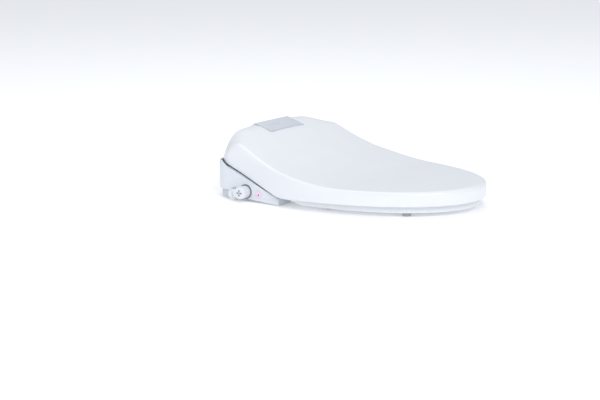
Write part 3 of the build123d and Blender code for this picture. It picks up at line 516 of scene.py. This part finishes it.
def ring_arms():
    """Arm from each rear end of the ring up to its hinge boss."""
    y, z = HINGE
    end, root = RING_REAR_Y, RING_REAR_Y - ARM_ROOT
    root_z = float(ring_height(np.array([[ARM_PROBE_X, root]]))[0])
    low = z - math.tan(math.radians(ARM_SLOPE)) * (y - end)
    outline = [(root, root_z - 8), (root, root_z - 1.5), (end, z - 1), (y - 12, z + ARM_BOSS - 3.2)]
    outline += [tuple(p) for p in arc(HINGE, ARM_BOSS, 100, -100, 28)]
    outline += [(y - 8, z - ARM_BOSS * 0.82), (end, low)]
    for side, label in SIDES:
        x0, x1 = sorted((side * ARM_X[0], side * ARM_X[1]))
        arm = prism_x(f"ring_arm_{label}", outline[::-1], x0, x1, 2.2)
        place(arm, "seat", MATERIALS["seat_white"], "seat_ring_top", slot="seat_white")


def lid_bosses():
    """Hinge lug and web on each side inside the lid."""
    y, z = HINGE
    roof, roof_back = (float(lid_height(np.array([[LUG_PROBE_X, y + reach]]))[0]) - WALL
                       for reach in (-LUG_HALF, LUG_HALF))
    outline = [tuple(p) for p in arc(HINGE, LUG_RADIUS, 180, 360, 26)]
    outline += [(y + LUG_HALF, roof_back + 1), (y - LUG_HALF, roof + 1)]
    for side, label in SIDES:
        x0, x1 = sorted((side * LUG_X[0], side * LUG_X[1]))
        lug = prism_x(f"lid_lug_{label}", outline, x0, x1, 1.2)
        place(lug, "lid", MATERIALS["lid_white"], "lid_shell", slot="lid_white")


# ---- Camera, light, floor ------------------------------------------------------------
CAMERA_LENS = 97.55
CAMERA_AT = (-2.8536, -2.0510, 0.7172)
CAMERA_AZIMUTH, CAMERA_ELEVATION = -54.64, 12.05
# name, place, target, size, power, tint
LIGHTS = (
    ("key", (-1.6, -2.6, 2.6), (0, -0.15, 0.05), 1.9, 56, (1, 0.995, 0.985)),
    ("fill", (-3.2, 0.8, 1.4), (0, -0.1, 0.05), 2.0, 12, (0.97, 0.98, 1)),
    ("top", (0.6, 0.6, 3.0), (0, -0.15, 0.05), 2.0, 22, (1, 1, 1)),
)


def make_camera():
    """The photograph's view, with the whole object in frame."""
    camera = bpy.data.objects.new("camera", bpy.data.cameras.new("camera"))
    bpy.context.scene.collection.objects.link(camera)
    camera.data.lens = CAMERA_LENS
    camera.data.sensor_width = 36.0
    camera.data.clip_start, camera.data.clip_end = 0.1, 60
    azimuth, elevation = math.radians(CAMERA_AZIMUTH), math.radians(CAMERA_ELEVATION)
    back = Vector((math.sin(azimuth) * math.cos(elevation), -math.cos(azimuth) * math.cos(elevation),
                   math.sin(elevation)))
    camera.location = CAMERA_AT
    camera.rotation_mode = "QUATERNION"
    camera.rotation_quaternion = (-back).to_track_quat("-Z", "Y")
    bpy.context.scene.camera = camera


def area_light(name, place_at, target, size, power, tint):
    """Round area light aimed at the target."""
    light = bpy.data.objects.new(name, bpy.data.lights.new(name, "AREA"))
    bpy.context.scene.collection.objects.link(light)
    light.data.shape = "DISK"
    light.data.size = size
    light.data.energy = power
    light.data.color = tint
    light.location = place_at
    light.rotation_mode = "QUATERNION"
    light.rotation_quaternion = (Vector(target) - Vector(place_at)).to_track_quat("-Z", "Y")


def make_stage():
    """Pale floor, even sky and the lights."""
    floor_mat = bpy.data.materials.new("floor_pale")
    floor_mat.use_nodes = True
    shader = floor_mat.node_tree.nodes["Principled BSDF"]
    shader.inputs["Base Color"].default_value = (0.93, 0.94, 0.96, 1)
    shader.inputs["Roughness"].default_value = 0.7
    shader.inputs["Emission Color"].default_value = (1, 1, 1, 1)
    shader.inputs["Emission Strength"].default_value = 0.22
    mesh = bpy.data.meshes.new("floor")
    reach = 12.0
    mesh.from_pydata([(-reach, -reach, 0), (reach, -reach, 0), (reach, reach, 0), (-reach, reach, 0)], [],
                     [(0, 1, 2, 3)])
    floor = new_object("floor", mesh)
    floor.location.z = -0.0004
    mesh.materials.append(floor_mat)
    world = bpy.data.worlds.new("studio")
    bpy.context.scene.world = world
    world.use_nodes = True
    world.node_tree.nodes["Background"].inputs["Color"].default_value = (0.93, 0.955, 1.0, 1)
    world.node_tree.nodes["Background"].inputs["Strength"].default_value = 0.6
    for light in LIGHTS:
        area_light(*light)


# ---- Threads, symbols and small details ----------------------------------------------
INLET_PITCH, INLET_DEPTH, INLET_BORE = 1.81, 0.9, 5.0
INLET_STEM, INLET_STEM_RADIUS = 18.0, 8.6
BOLT_PITCH, BOLT_DEPTH, BOLT_RADIUS = 1.25, 0.45, 4.0
BOLT_NECK, BOLT_NECK_RADIUS = 4.2, 3.8
BOLT_HEAD_LOW, BOLT_HEAD_RADIUS = 4.0, 7.0


def threaded(name, start, along, length, crest, depth, pitch, bore=0.0, steps=8, around=28):
    """Rod with a helical thread, its axis from start in the direction along; hollow if bored."""
    axis = Vector(along).normalized()
    side = axis.orthogonal().normalized()
    across = axis.cross(side)
    count = int(length / pitch * steps)
    levels = [(length * i / count, None) for i in range(count + 1)]
    rings = [(0.0, bore)] + levels + [(length, bore)] if bore else levels
    vertices, faces = [], []
    for level, fixed in rings:
        for k in range(around):
            angle = TURN * k / around
            wave = 0.5 - 0.5 * math.cos(TURN * (level / pitch - k / around))
            taper = min(level / pitch, (length - level) / pitch, 1)
            radius = fixed if fixed is not None else crest - depth * (1 - wave * max(taper, 0))
            out = side * math.cos(angle) + across * math.sin(angle)
            point = Vector(start) + axis * level + out * radius
            vertices.append(tuple(point))
    total = len(rings)
    for i in range(total if bore else total - 1):
        a, b = i * around, ((i + 1) % total) * around
        faces.extend((a + k, a + (k + 1) % around, b + (k + 1) % around, b + k) for k in range(around))
    if not bore:
        faces.append(tuple(range(around)))
        faces.append(tuple(range((total - 1) * around, total * around)))
    return mesh_object(name, vertices, faces)


def plate_x(name, outline, x, thickness):
    """Thin raised symbol on a face that looks towards -X."""
    return prism_x(name, outline, x - thickness, x, 0.05)


def symbols():
    """Generic marks: four arrows on the knob and a crescent on the button."""
    y, z = (knob_low.y + knob_high.y) / 2, (knob_low.z + knob_high.z) / 2
    for k in range(4):
        turn = k * TURN / 4

        def spin(a, b, t=turn):
            return y + a * math.cos(t) - b * math.sin(t), z + a * math.sin(t) + b * math.cos(t)

        arrow = [spin(*p) for p in ((-2.6, 4.0), (0, 7.2), (2.6, 4.0), (0.9, 4.4), (0.9, 1.3), (-0.9, 1.3),
                                    (-0.9, 4.4))]
        mark = plate_x(f"knob_arrow_{k}", arrow, knob_low.x + 0.02, 0.2)
        place(mark, "knob", MATERIALS["mark_grey"], slot="damper_grey")
    y, z = (button_low.y + button_high.y) / 2, (button_low.z + button_high.z) / 2
    outer = [(y + 2.9 * math.cos(a), z + 2.9 * math.sin(a)) for a in np.radians(np.linspace(99.5, 328, 30))]
    hollow = [(y + 1.2 + 2.65 * math.cos(a), z + 0.8 + 2.65 * math.sin(a))
              for a in np.radians(np.linspace(297, 130, 24))]
    crescent = plate_x("button_crescent", outer + hollow, button_low.x + 0.02, 0.15)
    place(crescent, "button", MATERIALS["mark_plum"], slot="damper_grey")


def hexagon_head(name, x, y, low, high, radius):
    """Bevelled bolt head."""
    ring = [(x + radius * math.cos(TURN * k / 6), y + radius * math.sin(TURN * k / 6)) for k in range(6)]
    vertices = [(a, b, low) for a, b in ring] + [(a, b, high) for a, b in ring]
    faces = [tuple(range(5, -1, -1)), tuple(range(6, 12))]
    faces += [(i, (i + 1) % 6, 6 + (i + 1) % 6, 6 + i) for i in range(6)]
    return bevelled(mesh_object(name, vertices, faces), 0.5)


def threads():
    """Inlet thread with its bore, and both bowl bolts."""
    low, high = (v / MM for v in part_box("water_inlet"))
    x, z = (low.x + high.x) / 2, (low.z + high.z) / 2
    crest = (high.x - low.x) / 2
    thread_y = low.y + INLET_STEM
    inlet = threaded("inlet_thread", (x, thread_y, z), (0, 1, 0), high.y - thread_y, crest, INLET_DEPTH,
                     INLET_PITCH, bore=INLET_BORE, around=40)
    stem = threaded("inlet_stem", (x, low.y, z), (0, 1, 0), INLET_STEM + 0.2, INLET_STEM_RADIUS, 0.0,
                    INLET_PITCH, bore=INLET_BORE, steps=1, around=40)
    for piece in (inlet, stem):
        place(piece, "unit", MATERIALS["brass"], "water_inlet", slot="brass")
    low, high = (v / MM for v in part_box("mounting_bolts"))
    for side, label in SIDES:
        x = side * (high.x - BOLT_HEAD_RADIUS)
        stud = threaded(f"bolt_thread_{label}", (x, 0, low.z), (0, 0, 1), -low.z, BOLT_RADIUS,
                        BOLT_DEPTH, BOLT_PITCH, steps=7, around=24)
        neck = threaded(f"bolt_neck_{label}", (x, 0, -0.05), (0, 0, 1), BOLT_NECK, BOLT_NECK_RADIUS,
                        0.0, BOLT_PITCH, steps=2, around=24)
        head = hexagon_head(f"bolt_head_{label}", x, 0, BOLT_HEAD_LOW, high.z, BOLT_HEAD_RADIUS)
        for piece in (stud, neck, head):
            place(piece, "mount", MATERIALS["steel"], "mounting_bolts", slot="steel")


# ---- The scene -----------------------------------------------------------------------
bpy.context.scene.view_settings.view_transform = "Standard"
make_camera()
make_stage()
dress_nodes()
make_lid()
make_ring()
ring_arms()
lid_bosses()
for node, body, width in SOFT:
    softened(node, body, width)
symbols()
threads()
